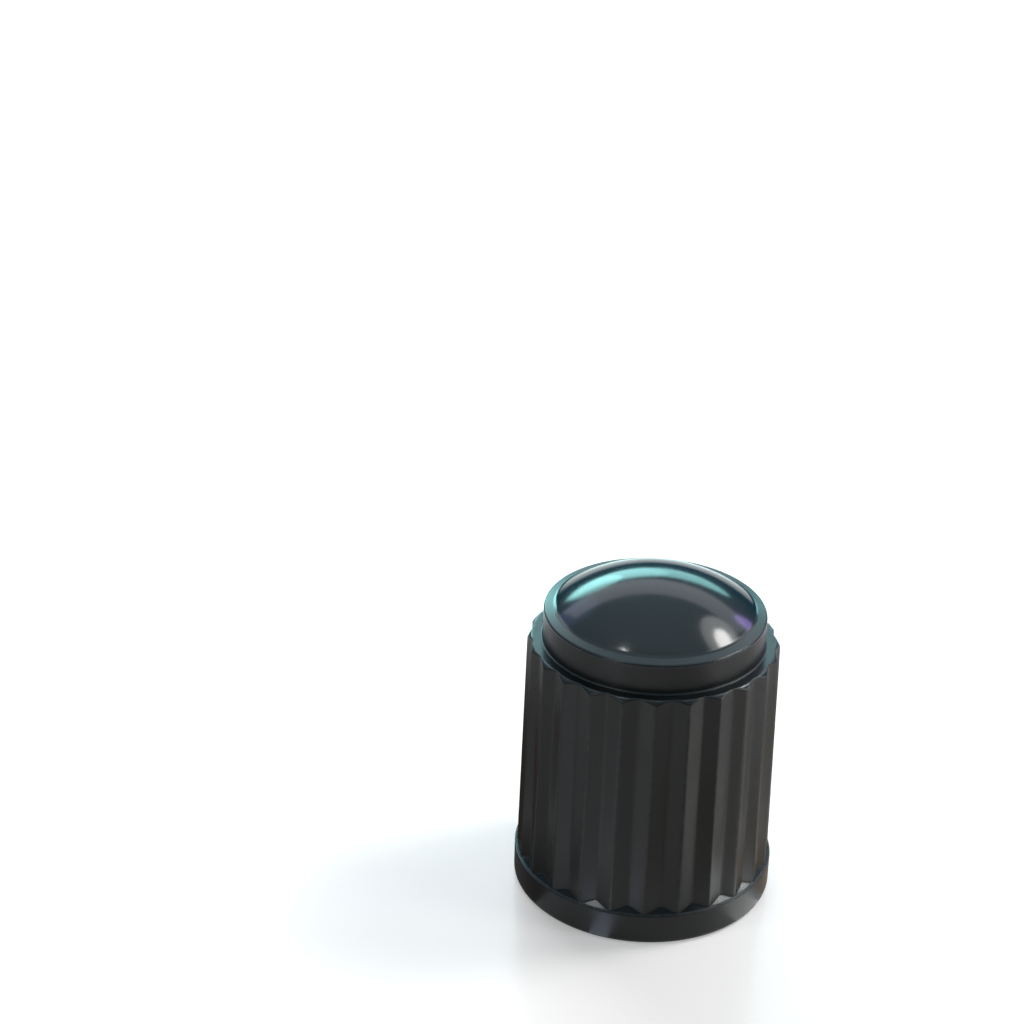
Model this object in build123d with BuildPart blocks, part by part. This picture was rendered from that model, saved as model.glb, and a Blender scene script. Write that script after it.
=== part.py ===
from build123d import *
import os
from math import asin, cos, radians, sin, tan

os.makedirs("parts", exist_ok=True)

# Tyre valve cap, moulded in one piece. Millimetres, mouth down on z = 0, axis of the thread along +Z.

# Threaded bore for a standard 8V1 tyre valve (7.75 mm, 32 threads to the inch)
thread_minor_d = 6.9
thread_depth = 0.43
thread_length = 7.4
mouth_clearance = 0.15

# Barrel and its flutes
wall = 1.0
barrel_draft = 0.84
shoulder_height = 10.2
shoulder_bevel = 0.16
flute_count = 24
flute_depth = 0.2
flute_floor_radius = 0.12
flute_foot_height = 0.5
ridge_land = 0.06

# Plain ring round the mouth
ring_height = 1.22
ring_stand_out = 0.08
ring_rim_radius = 0.2
ring_top_bevel = 0.05
flute_foot_bead = 0.02

# Collar, sloped ledge and dome
shoulder_width = 0.37
collar_height = 1.16
collar_foot_radius = 0.05
ledge_width = 0.43
ledge_rise = 0.13
ledge_edge_radius = 0.08
dome_height = 1.21

# Pocket over the thread
pocket_step = 0.5
pocket_edge_bevel = 0.4
crown_thickness = 1.9

# The thread's bore and its lead-in cone
bore_r = thread_minor_d / 2
mouth_r = bore_r + thread_depth + mouth_clearance
bore_foot_z = mouth_r - bore_r
bore_top_z = bore_foot_z + thread_length
pocket_r = bore_r - pocket_step
pocket_foot_z = bore_top_z + pocket_step

# Radii of the barrel, from the bore outwards: flute floors and ridges lean in with the draft
lean = tan(radians(barrel_draft))
floor_top_r = bore_r + wall
ridge_top_r = floor_top_r + flute_depth
ridge_foot_r = ridge_top_r + (shoulder_height - ring_height) * lean
ring_r = ridge_foot_r + ring_stand_out

# The smaller top
collar_r = floor_top_r - shoulder_width
dome_r = collar_r - ledge_width
ledge_z = shoulder_height + collar_height
dome_foot_z = ledge_z + ledge_rise
top_z = dome_foot_z + dome_height
ceiling_z = top_z - crown_thickness

# A flute is a V: its sides run from the rounded floor to the edges of the two ridges beside it
half_flute = radians(180 / flute_count) - asin(ridge_land / 2 / ridge_top_r)
edge_in = ridge_top_r * cos(half_flute) - floor_top_r
edge_side = ridge_top_r * sin(half_flute)
flute_start_z = ring_height + flute_foot_bead
flute_start_r = floor_top_r + (shoulder_height - flute_start_z) * lean
flute_length = ledge_z - flute_start_z
foot_top_z = ring_height + flute_foot_height
foot_top_r = floor_top_r + (shoulder_height - foot_top_z) * lean

# Form that hollows out one flute
with BuildPart() as flute:
    with BuildSketch() as flute_section:
        with BuildLine():
            Polyline(
                (0, 0),
                (2 * edge_in, 2 * edge_side),
                (2 * edge_in, -2 * edge_side),
                close=True,
            )
        make_face()
        fillet(flute_section.vertices().sort_by(Axis.X)[0], flute_floor_radius)
    extrude(amount=flute_length)

with BuildPart() as valve_cap:
    # Half section, turned about the axis
    with BuildSketch(Plane.XZ) as section:
        with BuildLine():
            Polyline(
                (0, ceiling_z),
                (pocket_r, ceiling_z),
                (pocket_r, pocket_foot_z),
                (bore_r, bore_top_z),
                (bore_r, bore_foot_z),
                (mouth_r, 0),
                (ring_r, 0),
                (ring_r, ring_height),
                (ridge_foot_r, ring_height),
                (ridge_top_r, shoulder_height),
                (collar_r, shoulder_height),
                (collar_r, ledge_z),
                (dome_r, dome_foot_z),
            )
            TangentArc((0, top_z), (dome_r, dome_foot_z), tangent=(1, 0))
            Line((0, top_z), (0, ceiling_z))
        make_face()
        rounded_corners = [
            ((ring_r, 0), ring_rim_radius),
            ((collar_r, shoulder_height), collar_foot_radius),
            ((collar_r, ledge_z), ledge_edge_radius),
        ]
        for corner, radius in rounded_corners:
            fillet(section.vertices().sort_by_distance(corner)[0], radius)
        bevelled_corners = [
            ((ring_r, ring_height), ring_top_bevel),
            ((ridge_top_r, shoulder_height), shoulder_bevel),
            ((pocket_r, ceiling_z), pocket_edge_bevel),
        ]
        for corner, bevel in bevelled_corners:
            chamfer(section.vertices().sort_by_distance(corner)[0], bevel)
    revolve(axis=Axis.Z)

    # Flutes lean in with the draft and open out through the shoulder
    with PolarLocations(flute_start_r, flute_count):
        with Locations(Location((0, 0, flute_start_z), (0, -barrel_draft, 0))):
            add(flute.part, mode=Mode.SUBTRACT)

    # Sloped feet, where the flutes run out just above the ring
    with BuildSketch(Plane.XZ) as foot_section:
        with BuildLine():
            Polyline(
                (foot_top_r - flute_depth, ring_height),
                (ridge_foot_r + flute_foot_bead, ring_height),
                (foot_top_r, foot_top_z),
                (foot_top_r - flute_depth, foot_top_z),
                close=True,
            )
        make_face()
    revolve(axis=Axis.Z)

valve_cap.part.label = "valve_cap"
export_step(valve_cap.part, "parts/valve_cap.step")
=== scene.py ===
from math import asin, atan2, cos, degrees, pi, radians, sin, sqrt, tan

import bpy
from mathutils import Matrix, Vector


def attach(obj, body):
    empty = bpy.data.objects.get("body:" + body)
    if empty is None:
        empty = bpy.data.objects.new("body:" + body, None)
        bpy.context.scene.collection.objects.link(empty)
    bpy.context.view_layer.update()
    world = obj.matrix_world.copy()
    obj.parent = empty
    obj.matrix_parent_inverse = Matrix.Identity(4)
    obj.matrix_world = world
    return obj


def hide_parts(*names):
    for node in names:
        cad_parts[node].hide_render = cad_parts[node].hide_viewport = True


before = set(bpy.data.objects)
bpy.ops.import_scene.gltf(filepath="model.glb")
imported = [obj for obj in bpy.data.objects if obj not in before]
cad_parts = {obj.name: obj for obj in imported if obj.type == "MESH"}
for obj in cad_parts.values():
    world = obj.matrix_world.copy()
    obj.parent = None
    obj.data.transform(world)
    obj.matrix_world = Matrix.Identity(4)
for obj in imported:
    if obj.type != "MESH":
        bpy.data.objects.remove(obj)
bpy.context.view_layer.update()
scene = bpy.context.scene
mm = 0.001
print("frame loaded:", sorted(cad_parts))


# helpers for drawing the cap's section, all in millimetres

def arcPoints(centre, radius, startDeg, endDeg, steps):
    points = []
    for i in range(steps + 1):
        a = radians(startDeg + (endDeg - startDeg) * i / steps)
        points.append((centre[0] + radius * cos(a), centre[1] + radius * sin(a)))
    return points


def bendPoints(start, corner, end, steps):
    # soft corner between two straight runs
    points = []
    for i in range(steps + 1):
        t = i / steps
        points.append(tuple((1 - t) ** 2 * p + 2 * t * (1 - t) * q + t * t * s
                            for p, q, s in zip(start, corner, end)))
    return points


def stepsBetween(low, high, count):
    return [low + (high - low) * i / count for i in range(count + 1)]


def evenPoints(points, count):
    # the same line with its points at even distances
    lengths = [0.0]
    for p, q in zip(points, points[1:]):
        lengths.append(lengths[-1] + sqrt((q[0] - p[0]) ** 2 + (q[1] - p[1]) ** 2))
    even, i = [], 0
    for step in stepsBetween(0.0, lengths[-1], count):
        while i < len(points) - 2 and lengths[i + 1] < step:
            i += 1
        t = (step - lengths[i]) / (lengths[i + 1] - lengths[i])
        even.append(tuple(p + (q - p) * t for p, q in zip(points[i], points[i + 1])))
    return even


def clamp(value):
    return max(0.0, min(1.0, value))


def softMin(a, b, blend):
    h = clamp(0.5 + 0.5 * (b - a) / blend)
    return b + (a - b) * h - blend * h * (1 - h)


# the cap is one moulding, drawn as rings of points:
# outside from the rim up to the dome, inside from the mouth up to the ceiling

cap = {
    "boreRadius": 3.45,
    "wall": 1.0,
    "draftDeg": 0.84,
    "ringHeight": 1.22,
    "ringStandOut": 0.08,
    "ringRim": 0.2,
    "ringTopEdge": 0.02,
    "shoulderHeight": 10.2,
    "shoulderWidth": 0.37,
    "shoulderBevel": 0.16,
    "shoulderEdge": 0.05,
    "shoulderSoftness": 0.04,
    "cove": 0.05,
    "coveFinish": 0.08,  # how far the cove's dull finish reaches out from the collar
    "collarHeight": 1.16,
    "ledgeWidth": 0.43,
    "ledgeRise": 0.13,
    "ledgeEdge": 0.09,
    "domeHeight": 1.21,
    "domeFoot": 0.07,
}

flutes = {
    "count": 24,
    "depth": 0.2,
    "ridgeSoftness": 0.035,
    "ridgeWear": 0.035,
    "floorSoftness": 0.075,
    "footGap": 0.02,
    "footHeight": 0.28,
    "footDepth": 0.02,
    "footSoftness": 0.02,
    "footBlend": 0.02,
    "footPolish": 0.6,
    "toothWear": 0.4,
    "toothWearDepth": 0.06,
}

thread = {
    "pitch": 25.4 / 32,
    "depth": 0.43,
    "length": 7.4,
    "crestShare": 0.25,
    "rootShare": 0.125,
    "rounding": 0.4,
    "runOut": 0.6,
    "mouthClearance": 0.15,
    "mouthEdge": 0.06,
    "pocketStep": 0.5,
    "pocketBevel": 0.4,
    "crownThickness": 1.9,
}

# finish of each zone of the surface: wear, grip, polish and painted sheen, a pale teal tint in place of
# reflected light (a polish below 0 is duller than satin)
finishesAndSheen = {
    "plain": (0.0, 0.0, 0.0, 0.0),
    "rim": (0.6, 0.0, 0.0, 0.0),
    "ringEdge": (0.3, 0.0, -1.0, 0.0),
    "toothSide": (0.0, 1.0, 0.0, 0.0),
    "toothEdge": (0.0, 0.7, 0.1, 0.0),
    "shoulder": (0.0, 0.0, 0.6, 0.4),
    "cove": (0.0, 0.0, -0.5, 0.4),
    "ledgeEdge": (0.3, 0.0, 0.5, 0.5),
    "ledge": (0.3, 0.0, 0.2, 1.0),
    "dome": (0.0, 0.0, 1.0, 0.0),
    "bore": (0.0, 0.0, 0.5, 0.0),
}

# how many rows and columns of points a form gets, and how far a flute's columns crowd together
rows = {
    "fluteColumns": 28,
    "fluteCrowding": 0.7,
    "rim": 8,
    "ringEdge": 5,
    "foot": 20,
    "toothEdge": 4,
    "shoulderTrace": 60,
    "shoulder": 16,
    "ledgeEdge": 9,
    "domeFoot": 6,
    "dome": 20,
    "threadColumns": 96,
    "threadPerPitch": 18,
    "mouthEdge": 5,
    "pocketFoot": 3,
    "pocketBevel": 8,
}

# where the rows lie that close off a soft corner, so that the face beside it stays flat
guards = {
    "rimInside": 0.06,
    "rimAbove": 0.04,
    "ringMiddle": 0.7,
    "ringBelowEdge": 0.09,
    "footAbove": (0.03, 0.1),
    "barrel": (2.4, 4.0, 6.0, 8.0, 9.4, 9.7),
    "toothBelow": 0.03,
    "coveEnd": 0.006,
    "collarEnds": 0.05,
    "ledgeEnds": 0.03,
    "domeTilts": (0.01, 0.02),
    "domeTip": 0.012,
    "mouth": 0.04,
    "pocketClose": 0.03,
    "pocketNext": 0.04,
    "pocketAbove": 0.1,
    "bevelEnds": 0.08,
    "ceilingShare": 0.5,
    "ceilingTip": 0.25,
}

lean = tan(radians(cap["draftDeg"]))
floorTop = cap["boreRadius"] + cap["wall"]
ridgeTop = floorTop + flutes["depth"]
ringRadius = ridgeTop + (cap["shoulderHeight"] - cap["ringHeight"]) * lean + cap["ringStandOut"]
collarRadius = floorTop - cap["shoulderWidth"]
coveTop = cap["shoulderHeight"] + cap["cove"]
domeRadius = collarRadius - cap["ledgeWidth"]
ledgeHeight = cap["shoulderHeight"] + cap["collarHeight"]
domeStartHeight = ledgeHeight + cap["ledgeRise"]
topHeight = domeStartHeight + cap["domeHeight"]
ceilingHeight = topHeight - thread["crownThickness"]
ledgeSlope = atan2(cap["ledgeRise"], cap["ledgeWidth"])

# a flute is a V: two flat flanks that meet in a softened floor, with a softened ridge on each side
flutePitch = 2 * pi / flutes["count"]
flankRun = ridgeTop * sin(flutePitch / 2)
flankRise = ridgeTop * cos(flutePitch / 2) - floorTop
footLow = cap["ringHeight"] + flutes["footGap"]
footHigh = footLow + flutes["footHeight"]


def columnAngles():
    # columns crowd towards the ridges and the floors, where the surface turns sharply
    angles = []
    for f in range(flutes["count"]):
        for i in range(rows["fluteColumns"]):
            t = i / rows["fluteColumns"]
            crowd = rows["fluteCrowding"] * sin(4 * pi * t) / (4 * pi)
            angles.append(flutePitch * (f - 0.5 + t - crowd))
    return angles


def draft(z):
    return (cap["shoulderHeight"] - z) * lean


def flankRadius(angle, z):
    off = (angle + flutePitch / 2) % flutePitch - flutePitch / 2
    fromFloor = sqrt(off ** 2 + (flutes["floorSoftness"] / ridgeTop) ** 2)
    fromRidge = sqrt((flutePitch / 2 - fromFloor) ** 2 + (flutes["ridgeSoftness"] / ridgeTop) ** 2)
    off = flutePitch / 2 - fromRidge
    along = floorTop * tan(off) / (flankRun - flankRise * tan(off))
    return (floorTop + flankRise * along) / cos(off) + draft(z)


def footRadius(z):
    # sloped foot in which a flute runs out
    share = (footHigh - z) / flutes["footHeight"]
    return floorTop + draft(z) + (flutes["depth"] - flutes["footDepth"]) * share


def fluteRadius(angle, z):
    ridge = ridgeTop + draft(z)
    if z <= footLow:
        return ridge
    flank = flankRadius(angle, z)
    return min(ridge, -softMin(-flank, -footRadius(z), flutes["footSoftness"]))


def shoulderTop(r):
    # bevel at the top of the ridges, then flat to the small cove at the collar
    inward = max(0.0, collarRadius + cap["cove"] - r)
    flat = coveTop - sqrt(cap["cove"] ** 2 - inward ** 2)
    bevel = cap["shoulderHeight"] + ridgeTop - cap["shoulderBevel"] - r
    return softMin(flat, bevel, cap["shoulderSoftness"])


def threadRadius(angle, z, foot, top):
    cone = cap["boreRadius"] + foot - z
    turn = (z / thread["pitch"] - angle / (2 * pi)) % 1.0
    away = abs(turn - 0.5)
    flankOut = 0.5 - thread["crestShare"] / 2
    flankIn = thread["rootShare"] / 2
    depth = clamp((flankOut - away) / (flankOut - flankIn))
    rounded = depth * depth * (3 - 2 * depth)
    depth = (1 - thread["rounding"]) * depth + thread["rounding"] * rounded
    fade = clamp((top - z) / thread["runOut"])
    return max(cone, cap["boreRadius"] + thread["depth"] * depth * fade)


def addPlain(rings, angles, points, zone):
    # a point of a ring holds its radius, its height, its finish and its painted sheen
    for r, z in points:
        rings.append([(r, z, *finishesAndSheen[zone])] * len(angles))


def outsideRings(angles):
    rings = []

    def plain(points, zone="plain"):
        addPlain(rings, angles, points, zone)

    # ring round the mouth
    rim, edge = cap["ringRim"], cap["ringTopEdge"]
    plain([(ringRadius - rim - guards["rimInside"], 0)])
    plain(arcPoints((ringRadius - rim, rim), rim, -90, 0, rows["rim"]), "rim")
    plain([(ringRadius, rim + guards["rimAbove"]), (ringRadius, guards["ringMiddle"]),
           (ringRadius, cap["ringHeight"] - guards["ringBelowEdge"])])
    plain(arcPoints((ringRadius - edge, cap["ringHeight"] - edge), edge, 0, 90, rows["ringEdge"]), "ringEdge")

    # fluted barrel, with close rows where the flutes run out at the foot
    heights = [cap["ringHeight"], footLow]  # this row comes twice, so the feet start at a crisp line
    heights += stepsBetween(footLow, footHigh, rows["foot"])
    heights += [footHigh + gap for gap in guards["footAbove"]]
    heights += guards["barrel"]
    for z in heights:
        ridge = ridgeTop + draft(z)
        ring = []
        for a in angles:
            r = fluteRadius(a, z)
            inFoot = clamp((r - flankRadius(a, z)) / flutes["footBlend"]) if z > footLow else -1.0
            wear = max(0.0, 1 - (ridge - r) / flutes["ridgeWear"])
            ring.append((r, z, wear, 1.0 - abs(inFoot), flutes["footPolish"] * inFoot, 0.0))
        rings.append(ring)

    # the flutes open out through the flat shoulder, so each ridge ends in a tooth
    soft = cap["shoulderEdge"]
    profiles = []
    for a in angles:
        outer = fluteRadius(a, cap["shoulderHeight"])
        top, inner = shoulderTop(outer), outer - soft
        wear = flutes["toothWear"] * max(0.0, 1 - (ridgeTop - outer) / flutes["toothWearDepth"])
        profile = [(outer, top - soft - guards["toothBelow"], wear, *finishesAndSheen["toothSide"][1:])]
        edgeEnd = (inner, shoulderTop(inner))
        for r, z in bendPoints((outer, top - soft), (outer, top), edgeEnd, rows["toothEdge"]):
            profile.append((r, z, wear, *finishesAndSheen["toothEdge"][1:]))
        lineEnd = collarRadius + guards["coveEnd"]
        line = [(r, shoulderTop(r)) for r in stepsBetween(inner, lineEnd, rows["shoulderTrace"])]
        line.append((collarRadius, coveTop))
        for r, z in evenPoints(line, rows["shoulder"])[1:]:
            zone = "shoulder" if r > collarRadius + cap["coveFinish"] else "cove"
            profile.append((r, z, *finishesAndSheen[zone]))
        profiles.append(profile)
    rings += [list(ring) for ring in zip(*profiles)]

    # collar, and the rounded edge between it and the ledge
    edge = cap["ledgeEdge"]
    edgeReach = edge * tan(pi / 4 - ledgeSlope / 2)
    edgeHeight = ledgeHeight - edgeReach
    plain([(collarRadius, coveTop + guards["collarEnds"]), (collarRadius, edgeHeight - guards["collarEnds"])])
    edgeCentre = (collarRadius - edge, edgeHeight)
    plain(arcPoints(edgeCentre, edge, 0, 90 - degrees(ledgeSlope), rows["ledgeEdge"]), "ledgeEdge")

    # the ledge slopes up to the dome
    def ledgePoint(inward):
        return collarRadius - inward, ledgeHeight + inward * tan(ledgeSlope)

    soft = cap["domeFoot"]
    plain([ledgePoint(edgeReach * cos(ledgeSlope) + guards["ledgeEnds"]),
           ledgePoint(cap["ledgeWidth"] - soft - guards["ledgeEnds"])], "ledge")

    # dome, a slice of a ball
    ball = (domeRadius ** 2 + cap["domeHeight"] ** 2) / (2 * cap["domeHeight"])

    def domePoint(tilt):
        return ball * sin(tilt), topHeight - ball + ball * cos(tilt)

    startTilt = asin(domeRadius / ball) - soft / ball
    ledgeEnd = ledgePoint(cap["ledgeWidth"] - soft)
    plain(bendPoints(ledgeEnd, (domeRadius, domeStartHeight), domePoint(startTilt), rows["domeFoot"]), "dome")
    first, second = (startTilt - gap for gap in guards["domeTilts"])
    tilts = [first] + stepsBetween(second, guards["domeTip"], rows["dome"])
    plain([domePoint(tilt) for tilt in tilts], "dome")
    return rings


def insideRings(angles):
    rings = []

    def plain(points):
        addPlain(rings, angles, points, "bore")

    # mouth and thread
    bore = cap["boreRadius"]
    mouth = bore + thread["depth"] + thread["mouthClearance"]
    foot = mouth - bore
    top = foot + thread["length"]
    soft = thread["mouthEdge"]
    plain([(mouth + soft + guards["mouth"], 0)])
    plain(bendPoints((mouth + soft, 0), (mouth, 0), (mouth - soft, soft), rows["mouthEdge"]))
    rowCount = round((top - soft) / thread["pitch"] * rows["threadPerPitch"])
    for z in stepsBetween(soft, top, rowCount)[1:]:
        rings.append([(threadRadius(a, z, foot, top), z, *finishesAndSheen["bore"]) for a in angles])

    # pocket over the thread
    pocket = bore - thread["pocketStep"]
    pocketFoot = top + thread["pocketStep"]
    bevel = thread["pocketBevel"]
    close, following = guards["pocketClose"], guards["pocketNext"]
    plain([(bore - close, top + close), (pocket + following, pocketFoot - following)])
    plain(bendPoints((pocket + close, pocketFoot - close), (pocket, pocketFoot),
                     (pocket, pocketFoot + following), rows["pocketFoot"]))
    plain([(pocket, pocketFoot + guards["pocketAbove"]),
           (pocket, ceilingHeight - bevel - guards["bevelEnds"])])
    plain(bendPoints((pocket, ceilingHeight - bevel), (pocket, ceilingHeight),
                     (pocket - bevel, ceilingHeight), rows["pocketBevel"]))
    for r in (pocket - bevel - guards["bevelEnds"], pocket * guards["ceilingShare"], guards["ceilingTip"]):
        plain([(r, ceilingHeight)])
    return rings


def buildCap():
    outAngles = columnAngles()
    outCount, inCount = len(outAngles), rows["threadColumns"]
    inAngles = [outAngles[0] + 2 * pi * i / inCount for i in range(inCount)]
    outside = outsideRings(outAngles)
    inside = insideRings(inAngles)
    points, marks, faces = [], [], []

    def addRings(rings, angles):
        first = len(points)
        for ring in rings:
            for (r, z, *finishAndSheen), a in zip(ring, angles):
                points.append((r * mm * cos(a), r * mm * sin(a), z * mm))
                marks.append(finishAndSheen)
        return first

    def joinRings(first, count, width, inward):
        for i in range(count - 1):
            low, high = first + i * width, first + (i + 1) * width
            for j in range(width):
                k = (j + 1) % width
                face = (low + j, low + k, high + k, high + j)
                faces.append(face[::-1] if inward else face)

    def closeTop(first, width, z, inward):
        points.append((0, 0, z * mm))
        marks.append(finishesAndSheen["dome"])
        tip = len(points) - 1
        for j in range(width):
            face = (first + j, first + (j + 1) % width, tip)
            faces.append(face[::-1] if inward else face)

    outFirst = addRings(outside, outAngles)
    inFirst = addRings(inside, inAngles)
    joinRings(outFirst, len(outside), outCount, False)
    joinRings(inFirst, len(inside), inCount, True)
    closeTop(outFirst + (len(outside) - 1) * outCount, outCount, topHeight, False)
    closeTop(inFirst + (len(inside) - 1) * inCount, inCount, ceilingHeight, True)

    # flat rim between the mouth and the ring: several outer columns to each inner one
    share = outCount // inCount
    for k in range(inCount):
        outer = [outFirst + (k * share + i) % outCount for i in range(share + 1)]
        faces.append((inFirst + k, inFirst + (k + 1) % inCount, *reversed(outer)))

    mesh = bpy.data.meshes.new("valveCap")
    mesh.from_pydata(points, [], faces)
    mesh.validate()
    # the last mark is the mask of the painted sheen on the ledge and the shoulder
    for name, values in zip(("edgeWear", "gripZone", "polish", "paintedSheen"), zip(*marks)):
        layer = mesh.attributes.new(name, "FLOAT", "POINT")
        layer.data.foreach_set("value", list(values))
    mesh.shade_smooth()
    mesh.update()
    piece = bpy.data.objects.new("valveCap", mesh)
    scene.collection.objects.link(piece)
    triangles = sum(len(p.vertices) - 2 for p in mesh.polygons)
    print("cap built:", len(points), "points,", triangles, "triangles")
    return piece


# helpers for wiring nodes

def addNode(tree, kind, **settings):
    node = tree.nodes.new(kind)
    for key, value in settings.items():
        if key.startswith("in_"):
            node.inputs[key[3:].replace("_", " ")].default_value = value
        else:
            setattr(node, key, value)
    return node


def addNoise(tree, place, size, detail, roughness=0.5):
    noise = addNode(tree, "ShaderNodeTexNoise", in_Scale=size, in_Detail=detail, in_Roughness=roughness)
    tree.links.new(place, noise.inputs["Vector"])
    return noise.outputs["Fac"]


def addMath(tree, operation, first, second):
    node = addNode(tree, "ShaderNodeMath", operation=operation)
    for socket, value in zip(node.inputs, (first, second)):
        if isinstance(value, (int, float)):
            socket.default_value = value
        else:
            tree.links.new(value, socket)
    return node.outputs[0]


def addRange(tree, value, low, high, newLow, newHigh):
    node = addNode(tree, "ShaderNodeMapRange", in_From_Min=low, in_From_Max=high,
                   in_To_Min=newLow, in_To_Max=newHigh)
    tree.links.new(value, node.inputs["Value"])
    return node.outputs["Result"]


def addColourMix(tree, amount, first, second):
    node = addNode(tree, "ShaderNodeMix", data_type="RGBA")
    tree.links.new(amount, node.inputs[0])
    for socket, value in zip((node.inputs[6], node.inputs[7]), (first, second)):
        if isinstance(value, tuple):
            socket.default_value = (*value, 1)
        else:
            tree.links.new(value, socket)
    return node.outputs[2]


def addShaderMix(tree, amount, first, second):
    node = addNode(tree, "ShaderNodeMixShader")
    for socket, value in zip(node.inputs, (amount, first, second)):
        tree.links.new(value, socket)
    return node.outputs[0]


# a noise has its scale, detail and roughness, and a range its low and high end
plastic = {
    "black": (0.0032, 0.0032, 0.0033),
    "haze": (0.0055, 0.0053, 0.005),
    "scuff": (0.022, 0.0225, 0.0225),
    # painted sheen: a pale teal tint in place of light reflected by the ledge and the shoulder
    "paintedSheen": (0.015, 0.021, 0.0225),
    "ior": 1.5,
    "specular": 0.3,
    "polished": 0.13,
    "satin": 0.38,
    "grain": 0.015,
    "grainDepth": 0.00002,
    "grainNoise": (11.0, 4.0, 0.6),
    "cloudNoise": (0.55, 3.0),
    "scuffNoise": (3.2, 6.0, 0.65),
    "drawNoise": (1.0, 2.0),
    "drawScale": (9000, 9000, 350),  # long marks up the barrel, from drawing it out of the mould
    "scuffRange": (0.45, 0.68),
    "hazeRange": (0.35, 0.65),
    "hazeAmount": (0.35, 0.8),
    "roughRange": (0.3, 0.7),
    "cloudRough": 0.03,
    "drawRough": 0.02,
}


def blackPlastic():
    material = bpy.data.materials.new("blackPlastic")
    material.use_nodes = True
    tree = material.node_tree
    shader = tree.nodes["Principled BSDF"]
    shader.inputs["IOR"].default_value = plastic["ior"]
    shader.inputs["Specular IOR Level"].default_value = plastic["specular"]

    place = addNode(tree, "ShaderNodeTexCoord")
    inMm = addNode(tree, "ShaderNodeMapping", in_Scale=(1 / mm, 1 / mm, 1 / mm))
    drawn = addNode(tree, "ShaderNodeMapping", in_Scale=plastic["drawScale"])
    for node in (inMm, drawn):
        tree.links.new(place.outputs["Object"], node.inputs["Vector"])
    grain = addNoise(tree, inMm.outputs[0], *plastic["grainNoise"])
    cloud = addNoise(tree, inMm.outputs[0], *plastic["cloudNoise"])
    scuffs = addNoise(tree, inMm.outputs[0], *plastic["scuffNoise"])
    drawMarks = addNoise(tree, drawn.outputs[0], *plastic["drawNoise"])
    edge, grip, polish, paintedSheen = (addNode(tree, "ShaderNodeAttribute", attribute_name=name).outputs["Fac"]
                                 for name in ("edgeWear", "gripZone", "polish", "paintedSheen"))

    # edges are rubbed here and there, the grip has a thin haze, and the ledge and the shoulder get a painted
    # sheen, a pale teal tint in place of reflected light
    worn = addMath(tree, "MULTIPLY", edge, addRange(tree, scuffs, *plastic["scuffRange"], 0.0, 1.0))
    haze = addRange(tree, cloud, *plastic["hazeRange"], *plastic["hazeAmount"])
    colour = addColourMix(tree, addMath(tree, "MULTIPLY", grip, haze), plastic["black"], plastic["haze"])
    colour = addColourMix(tree, paintedSheen, colour, plastic["paintedSheen"])
    colour = addColourMix(tree, worn, colour, plastic["scuff"])
    tree.links.new(colour, shader.inputs["Base Color"])

    rough = addRange(tree, polish, 0.0, 1.0, plastic["satin"], plastic["polished"])
    for noise, amount in ((cloud, plastic["cloudRough"]), (drawMarks, plastic["drawRough"])):
        rough = addMath(tree, "ADD", rough, addRange(tree, noise, *plastic["roughRange"], -amount, amount))
    tree.links.new(rough, shader.inputs["Roughness"])

    # polished faces carry no grain
    height = addMath(tree, "MULTIPLY", grain, addMath(tree, "SUBTRACT", 1.0, polish))
    height = addMath(tree, "ADD", height, addMath(tree, "MULTIPLY", drawMarks, grip))
    bump = addNode(tree, "ShaderNodeBump", in_Strength=plastic["grain"], in_Distance=plastic["grainDepth"])
    tree.links.new(height, bump.inputs["Height"])
    tree.links.new(bump.outputs["Normal"], shader.inputs["Normal"])
    return material


valveCap = buildCap()
valveCap.data.materials.append(blackPlastic())
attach(valveCap, "root")
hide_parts("valve_cap")
print("cap finished in black plastic")


# pale floor, cards, soft lamps and camera: turns are in degrees from the side that the camera stands on
cameraSide = -85.2
white = (1.0, 1.0, 1.0)

# in metres; lift is the floor's own glow
floor = {
    "half": 1.5,
    "squares": 6,
    "drop": 0.00001,
    "colour": (0.82, 0.82, 0.82),
    "gloss": 0.2,
    "lift": 0.3,
    "farLift": 1.0,
    "fadeStart": 0.05,
    "fadeEnd": 0.25,
}


def seenRays(tree, amount):
    # amount for rays that see the backdrop, straight on or in a gloss, and nothing for the light it gives
    rays = addNode(tree, "ShaderNodeLightPath")
    seen = addMath(tree, "MAXIMUM", rays.outputs["Is Camera Ray"], rays.outputs["Is Glossy Ray"])
    seen = addMath(tree, "MAXIMUM", seen, rays.outputs["Is Transmission Ray"])
    return addMath(tree, "MULTIPLY", seen, amount)


def straightRays(tree):
    return addNode(tree, "ShaderNodeLightPath").outputs["Is Camera Ray"]


def addPiece(name, points, faces):
    mesh = bpy.data.meshes.new(name)
    mesh.from_pydata(points, [], faces)
    piece = bpy.data.objects.new(name, mesh)
    scene.collection.objects.link(piece)
    material = bpy.data.materials.new(name)
    material.use_nodes = True
    mesh.materials.append(material)
    return piece, material.node_tree


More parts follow.
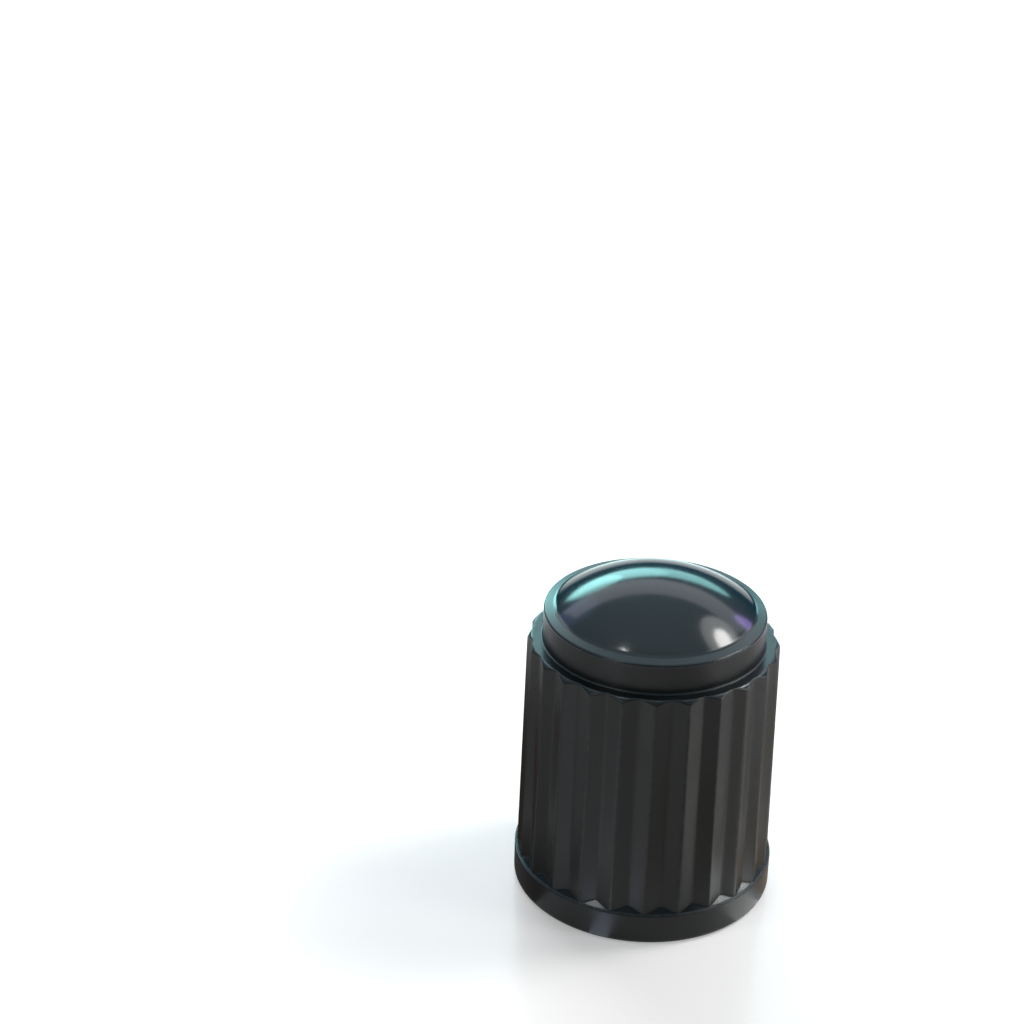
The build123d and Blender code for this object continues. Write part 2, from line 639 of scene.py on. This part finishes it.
def layFloor():
    count = floor["squares"]
    line = stepsBetween(-floor["half"], floor["half"], count)
    points = [(x, y, -floor["drop"]) for y in line for x in line]
    wide = count + 1
    faces = [(i + j * wide, i + 1 + j * wide, i + 1 + (j + 1) * wide, i + (j + 1) * wide)
             for j in range(count) for i in range(count)]
    piece, tree = addPiece("paleFloor", points, faces)
    shader = tree.nodes["Principled BSDF"]
    shader.inputs["Base Color"].default_value = (*floor["colour"], 1)
    shader.inputs["Roughness"].default_value = floor["gloss"]
    shader.inputs["Emission Color"].default_value = (*white, 1)
    # it runs into the white backdrop away from the cap
    away = addNode(tree, "ShaderNodeVectorMath", operation="LENGTH")
    tree.links.new(addNode(tree, "ShaderNodeTexCoord").outputs["Object"], away.inputs[0])
    fade = addRange(tree, away.outputs["Value"], floor["fadeStart"], floor["fadeEnd"],
                    floor["lift"], floor["farLift"])
    straight = addMath(tree, "MULTIPLY", fade, straightRays(tree))
    lift = addMath(tree, "MAXIMUM", straight, seenRays(tree, floor["lift"]))
    tree.links.new(lift, shader.inputs["Emission Strength"])


# cards lie flat round the cap and show only in its gloss as painted reflections: dim ones are painted shade
# in it, bright ones painted streaks of light near ones show in the ring and far ones in the flutes; a reach
# is in millimetres from the axis
nearCap, farOut = (4.9, 8.0), (8.0, 21.0)
cards = {
    "darkCard": dict(turn=196, spread=137, reach=(5.0, 20.0), glow=0.1, colour=(1.0, 0.75, 0.5)),
    "leftEdgeCard": dict(turn=-75, spread=40, reach=nearCap, glow=0.15, colour=white),
    "rightEdgeCard": dict(turn=102, spread=52, reach=nearCap, glow=0.65, colour=(1.0, 0.85, 0.7)),
    "leftCard": dict(turn=-17.5, spread=9, reach=nearCap, glow=3.0, colour=(0.74, 0.82, 1.0)),
    "rightCard": dict(turn=60, spread=20, reach=nearCap, glow=2.4, colour=(0.96, 1.0, 1.0)),
    "frontShadeCard": dict(turn=32, spread=44, reach=farOut, glow=0.5, colour=(1.0, 0.98, 0.9)),
    "rightFarCard": dict(turn=62, spread=13, reach=farOut, glow=2.2, colour=(1.0, 0.98, 0.94)),
    "rightShadeCard": dict(turn=74, spread=12, reach=farOut, glow=0.6, colour=(1.0, 0.94, 0.85)),
    "backShadeCard": dict(turn=113, spread=30, reach=farOut, glow=0.6, colour=(1.0, 0.92, 0.8)),
    "leftFarCard": dict(turn=-41, spread=13, reach=farOut, glow=1.5, colour=(0.86, 0.93, 1.0)),
    "leftShadeCard": dict(turn=-77, spread=44, reach=farOut, glow=0.55, colour=(0.95, 0.97, 1.0)),
}
cardLift, cardSteps = 0.02, 24


def layCards():
    for name, card in cards.items():
        points, faces = [], []
        first, last = card["turn"] - card["spread"] / 2, card["turn"] + card["spread"] / 2
        for i, turn in enumerate(stepsBetween(first, last, cardSteps)):
            a = radians(cameraSide + turn)
            for r in card["reach"]:
                points.append((r * mm * cos(a), r * mm * sin(a), cardLift * mm))
            if i:
                faces.append((2 * i - 2, 2 * i - 1, 2 * i + 1, 2 * i))
        piece, tree = addPiece(name, points, faces)
        # the card's glow is a painted reflection, not a lamp
        tree.nodes.remove(tree.nodes["Principled BSDF"])
        # the floor below it sees through it
        glow = addNode(tree, "ShaderNodeEmission", in_Color=(*card["colour"], 1), in_Strength=card["glow"])
        under = addNode(tree, "ShaderNodeNewGeometry").outputs["Backfacing"]
        clear = addNode(tree, "ShaderNodeBsdfTransparent")
        mix = addShaderMix(tree, under, glow.outputs[0], clear.outputs[0])
        tree.links.new(mix, tree.nodes["Material Output"].inputs["Surface"])
        piece.visible_camera = False
        piece.visible_diffuse = False
        piece.visible_shadow = False


room = {
    "low": (0.03, 0.17, 0.26),
    "high": (1.14, 1.56, 1.78),
    "lowEnd": 0.1,
    "highStart": 1.0,
    "shade": 0.42,
    "shadeStart": 0.1,
    "shadeEnd": 0.42,
    "light": 0.2,
}


def lightRoom():
    world = bpy.data.worlds.new("room")
    scene.world = world
    world.use_nodes = True
    tree = world.node_tree
    glow = tree.nodes["Background"]
    glow.inputs["Strength"].default_value = room["light"]
    seen = addNode(tree, "ShaderNodeBackground")
    place = addNode(tree, "ShaderNodeTexCoord")
    split = addNode(tree, "ShaderNodeSeparateXYZ")
    tree.links.new(place.outputs["Generated"], split.inputs[0])
    rise = addRange(tree, split.outputs["Z"], room["lowEnd"], room["highStart"], 0.0, 1.0)
    tree.links.new(addColourMix(tree, rise, room["low"], room["high"]), seen.inputs["Color"])
    # the side the picture is taken from is darker
    side = radians(cameraSide)
    towards = addMath(tree, "ADD", addMath(tree, "MULTIPLY", split.outputs["X"], cos(side)),
                      addMath(tree, "MULTIPLY", split.outputs["Y"], sin(side)))
    tree.links.new(addRange(tree, towards, room["shadeStart"], room["shadeEnd"], 1.0, room["shade"]),
                   seen.inputs["Strength"])
    inGloss = addShaderMix(tree, seenRays(tree, 1.0), glow.outputs[0], seen.outputs[0])
    # straight on, the room is a white backdrop
    backdrop = addNode(tree, "ShaderNodeBackground", in_Color=(*white, 1), in_Strength=1.0)
    straight = addShaderMix(tree, straightRays(tree), inGloss, backdrop.outputs[0])
    tree.links.new(straight, tree.nodes["World Output"].inputs["Surface"])


# lamps stand round the cap: turn is from the camera to the right, rise is above the floor, both in degrees
# tinted ones show only in the gloss, so the floor stays neutral, and the dull one doesn't show in it
lampDistance, lampAim = 0.4, 0.006  # metres
teal, blue, lilac = (0.42, 0.95, 0.95), (0.3, 0.42, 1.0), (0.5, 0.33, 1.0)
lamps = {
    "window": dict(turn=184.5, rise=20, wide=55, high=14, glow=4.5, colour=teal, tint=True, round=True),
    "windowMiddle": dict(turn=194, rise=21.5, wide=33, high=16, glow=2.5, colour=teal, tint=True, round=True),
    "windowLeft": dict(turn=203, rise=22, wide=20, high=16, glow=4.0, colour=teal, tint=True, round=True),
    "daylight": dict(turn=203, rise=24, wide=34, high=18, glow=9.0, colour=white, dull=True),
    "ceiling": dict(turn=178, rise=41, wide=80, high=18, glow=1.6, colour=(0.95, 0.95, 1.0)),
    "blueLeft": dict(turn=-136, rise=33, wide=20, high=22, glow=0.9, colour=blue, tint=True, round=True),
    "right": dict(turn=114, rise=47, wide=15, high=11, glow=23.0, colour=(1.0, 0.99, 0.97), round=True),
    "rightSoft": dict(turn=116, rise=48, wide=30, high=24, glow=4.0, colour=(1.0, 0.99, 0.97), round=True),
    "rightLow": dict(turn=76, rise=19, wide=18, high=12, glow=15.0, colour=(0.98, 1.0, 1.0)),
    "rightBack": dict(turn=100, rise=10, wide=16, high=9, glow=14.0, colour=(0.98, 1.0, 1.0), round=True),
    "frontLeft": dict(turn=-39, rise=28, wide=15, high=11, glow=10.0, colour=(0.95, 0.98, 1.0)),
    "spot": dict(turn=-65, rise=69.5, wide=2.8, high=2.8, glow=110.0, colour=white, round=True),
    "lilac": dict(turn=137.5, rise=25, wide=8, high=12, glow=6.0, colour=lilac, tint=True, round=True),
}


def hangLamps():
    target = Vector((0, 0, lampAim))
    for name, lamp in lamps.items():
        light = bpy.data.lights.new(name, "AREA")
        light.shape = "ELLIPSE" if lamp.get("round") else "RECTANGLE"
        light.size = 2 * lampDistance * tan(radians(lamp["wide"] / 2))
        light.size_y = 2 * lampDistance * tan(radians(lamp["high"] / 2))
        fill = pi / 4 if lamp.get("round") else 1.0
        light.energy = lamp["glow"] * pi * fill * light.size * light.size_y
        light.color = lamp["colour"]
        turn, rise = radians(cameraSide + lamp["turn"]), radians(lamp["rise"])
        away = Vector((cos(rise) * cos(turn), cos(rise) * sin(turn), sin(rise)))
        stand = bpy.data.objects.new(name, light)
        stand.location = target + away * lampDistance
        stand.rotation_euler = away.to_track_quat("Z", "Y").to_euler()
        stand.visible_camera = False
        stand.visible_diffuse = not lamp.get("tint")
        stand.visible_glossy = not lamp.get("dull")
        scene.collection.objects.link(stand)


shot = {
    "lens": 90.45,
    "sensor": 36.0,
    "clip": (0.001, 20),
    "imageSize": 1024,
    "lookDown": 26.8,
    "roll": 1.65,
    "heading": 98.5,
    "footPixel": (640.5, 868.5),  # where the middle of the cap's mouth lies in the picture
    "footDepth": 0.09884,  # metres from the camera, along its view
}


def placeCamera():
    camera = bpy.data.cameras.new("shot")
    camera.lens = shot["lens"]
    camera.sensor_width = shot["sensor"]
    camera.clip_start, camera.clip_end = shot["clip"]
    heading, down, roll = (radians(shot[k]) for k in ("heading", "lookDown", "roll"))
    forward = Vector((cos(down) * cos(heading), cos(down) * sin(heading), -sin(down)))
    levelRight = Vector((sin(heading), -cos(heading), 0))
    levelUp = levelRight.cross(forward)
    right = levelRight * cos(roll) + levelUp * sin(roll)
    up = levelUp * cos(roll) - levelRight * sin(roll)
    perPixel = shot["sensor"] / shot["imageSize"] / shot["lens"]
    across, below = ((p - shot["imageSize"] / 2) * perPixel for p in shot["footPixel"])
    place = -(forward + right * across - up * below) * shot["footDepth"]
    stand = bpy.data.objects.new("shot", camera)
    stand.matrix_world = Matrix.Translation(place) @ Matrix((right, up, -forward)).transposed().to_4x4()
    scene.collection.objects.link(stand)
    scene.camera = stand


layFloor()
layCards()
lightRoom()
hangLamps()
placeCamera()
scene.view_settings.view_transform = "Standard"
print("stage set")
